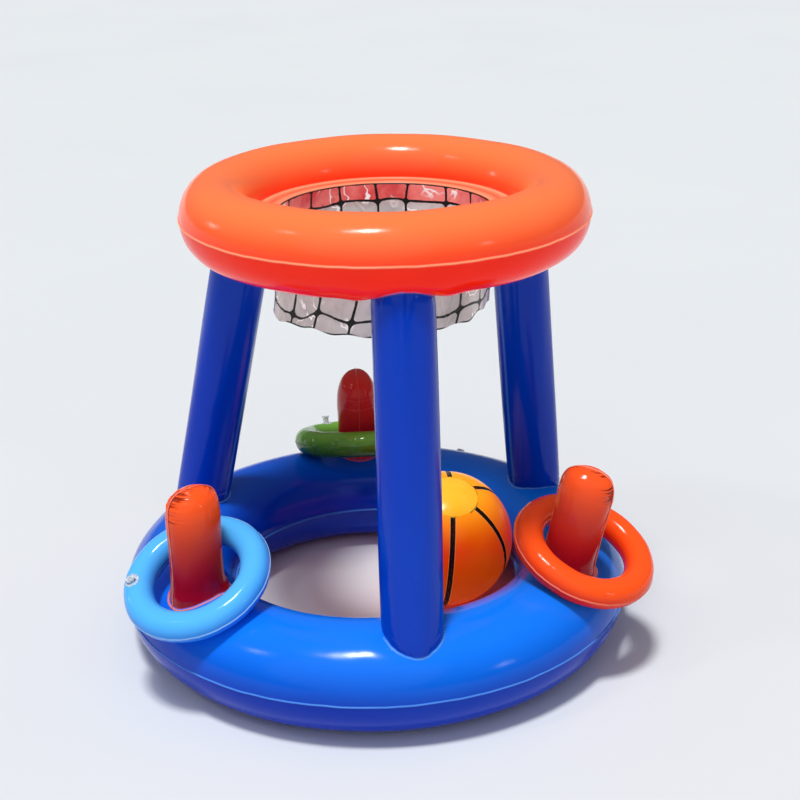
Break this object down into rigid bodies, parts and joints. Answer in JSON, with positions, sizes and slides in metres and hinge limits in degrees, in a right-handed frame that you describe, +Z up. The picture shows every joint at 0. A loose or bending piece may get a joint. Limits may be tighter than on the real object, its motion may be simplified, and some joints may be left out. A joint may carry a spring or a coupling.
{
  "type": "floating basketball hoop set",
  "caption": "Inflatable floating hoop on legs over a ring-shaped base, with a film net, pegs for toss rings, the toss rings and an inflatable ball.",
  "frame": {"origin": "middle of the whole set's footprint, on the floor that the base ring rests on", "axes": "+Z up, out of the floor; -Y towards the front leg; +X to the right when the front leg faces the viewer"},
  "size_m": [0.6117, 0.6262, 0.5522],
  "materials": {
    "royal_blue_film": "glossy",
    "orange_film": "glossy",
    "red_film": "glossy",
    "clear_net_film": "glossy, clear with printed lines",
    "clear_valve_film": "glossy, clear",
    "ball_orange_film": "glossy",
    "ball_yellow_film": "glossy",
    "light_blue_film": "glossy",
    "orange_red_film": "glossy",
    "green_film": "glossy, slightly clear"
  },
  "bodies": {
    "hoop_stand": {"base_ring_upper_film": "royal_blue_film", "base_ring_lower_film": "royal_blue_film", "base_valve_seat": "clear_valve_film", "hoop_upper_film": "orange_film", "hoop_lower_film": "orange_film", "hoop_valve_seat": "clear_valve_film", "net_film": "clear_net_film", "leg_front_sleeve": "royal_blue_film", "leg_back_left_sleeve": "royal_blue_film", "leg_back_right_sleeve": "royal_blue_film", "peg_front_left_left_panel": "red_film", "peg_front_left_right_panel": "red_film", "peg_front_right_left_panel": "red_film", "peg_front_right_right_panel": "red_film", "peg_back_left_panel": "red_film", "peg_back_right_panel": "red_film"},
    "base_valve_stem": {"base_valve_stem": "clear_valve_film"},
    "base_valve_cap": {"base_valve_cap": "clear_valve_film"},
    "hoop_valve_stem": {"hoop_valve_stem": "clear_valve_film"},
    "hoop_valve_cap": {"hoop_valve_cap": "clear_valve_film"},
    "toss_ring_blue": {"toss_ring_blue_upper_film": "light_blue_film", "toss_ring_blue_lower_film": "light_blue_film", "toss_blue_valve_seat": "clear_valve_film"},
    "toss_blue_valve_stem": {"toss_blue_valve_stem": "clear_valve_film"},
    "toss_blue_valve_cap": {"toss_blue_valve_cap": "clear_valve_film"},
    "toss_ring_red": {"toss_ring_red_upper_film": "orange_red_film", "toss_ring_red_lower_film": "orange_red_film", "toss_red_valve_seat": "clear_valve_film"},
    "toss_red_valve_stem": {"toss_red_valve_stem": "clear_valve_film"},
    "toss_red_valve_cap": {"toss_red_valve_cap": "clear_valve_film"},
    "toss_ring_green": {"toss_ring_green_upper_film": "green_film", "toss_ring_green_lower_film": "green_film", "toss_green_valve_seat": "clear_valve_film"},
    "toss_green_valve_stem": {"toss_green_valve_stem": "clear_valve_film"},
    "toss_green_valve_cap": {"toss_green_valve_cap": "clear_valve_film"},
    "ball": {"ball_gore_1": "ball_orange_film", "ball_gore_2": "ball_orange_film", "ball_gore_3": "ball_orange_film", "ball_gore_4": "ball_orange_film", "ball_gore_5": "ball_orange_film", "ball_gore_6": "ball_orange_film", "ball_top_cap": "ball_yellow_film", "ball_bottom_cap": "ball_yellow_film", "ball_valve_seat": "clear_valve_film"},
    "ball_valve_stem": {"ball_valve_stem": "clear_valve_film"},
    "ball_valve_cap": {"ball_valve_cap": "clear_valve_film"}
  },
  "joints": [
    {"name": "toss_blue_lift", "type": "slide", "parent": "hoop_stand", "child": "toss_ring_blue", "axis": [0.0062, -0.0387, 0.9992], "range_m": [0, 0.175]},
    {"name": "toss_red_lift", "type": "slide", "parent": "hoop_stand", "child": "toss_ring_red", "axis": [0.1631, -0.1297, 0.978], "range_m": [0, 0.175]},
    {"name": "toss_green_lift", "type": "slide", "parent": "hoop_stand", "child": "toss_ring_green", "axis": [-0.0181, -0.3337, 0.9425], "range_m": [0, 0.175]},
    {"name": "ball_lift", "type": "slide", "parent": "hoop_stand", "child": "ball", "axis": [-0.2054, -0.067, 0.9764], "range_m": [0, 0.575]},
    {"name": "base_valve_pull", "type": "slide", "parent": "hoop_stand", "child": "base_valve_stem", "axis": [0.3165, 0.5482, 0.7742], "range_m": [0, 0.006]},
    {"name": "base_valve_cap_swing", "type": "hinge", "parent": "base_valve_stem", "child": "base_valve_cap", "pos_m": [0.13766, 0.22894, 0.10612], "axis": [0.866, -0.5, 0], "range_deg": [0, 110]},
    {"name": "hoop_valve_pull", "type": "slide", "parent": "hoop_stand", "child": "hoop_valve_stem", "axis": [0, 0.69, 0.7238], "range_m": [0, 0.006]},
    {"name": "hoop_valve_cap_swing", "type": "hinge", "parent": "hoop_valve_stem", "child": "hoop_valve_cap", "pos_m": [0.0198, 0.20199, 0.54722], "axis": [1, 0, 0], "range_deg": [0, 110]},
    {"name": "toss_blue_valve_pull", "type": "slide", "parent": "toss_ring_blue", "child": "toss_blue_valve_stem", "axis": [-0.4285, -0.3026, 0.8514], "range_m": [0, 0.006]},
    {"name": "toss_blue_valve_cap_swing", "type": "hinge", "parent": "toss_blue_valve_stem", "child": "toss_blue_valve_cap", "pos_m": [-0.27773, -0.14488, 0.14074], "axis": [0.0699, 0.9283, 0.3651], "range_deg": [0, 110]},
    {"name": "toss_red_valve_pull", "type": "slide", "parent": "toss_ring_red", "child": "toss_red_valve_stem", "axis": [0.3405, -0.099, 0.935], "range_m": [0, 0.006]},
    {"name": "toss_red_valve_cap_swing", "type": "hinge", "parent": "toss_red_valve_stem", "child": "toss_red_valve_cap", "pos_m": [0.24965, -0.08078, 0.16553], "axis": [0.9199, -0.1705, -0.353], "range_deg": [0, 110]},
    {"name": "toss_green_valve_push", "type": "slide", "parent": "toss_ring_green", "child": "toss_green_valve_stem", "axis": [-0.0753, 0.3805, 0.9217], "range_m": [-0.006, 0]},
    {"name": "toss_green_valve_cap_swing", "type": "hinge", "parent": "toss_green_valve_stem", "child": "toss_green_valve_cap", "pos_m": [-0.03612, 0.28951, 0.14061], "axis": [0.829, 0.5375, -0.1541], "range_deg": [0, 110]},
    {"name": "ball_valve_pull", "type": "slide", "parent": "ball", "child": "ball_valve_stem", "axis": [-0.3272, 0.5396, 0.7758], "range_m": [0, 0.006]},
    {"name": "ball_valve_cap_swing", "type": "hinge", "parent": "ball_valve_stem", "child": "ball_valve_cap", "pos_m": [0.05966, 0.05403, 0.15597], "axis": [0.9102, 0.4006, 0.1053], "range_deg": [0, 110]}
  ]
}
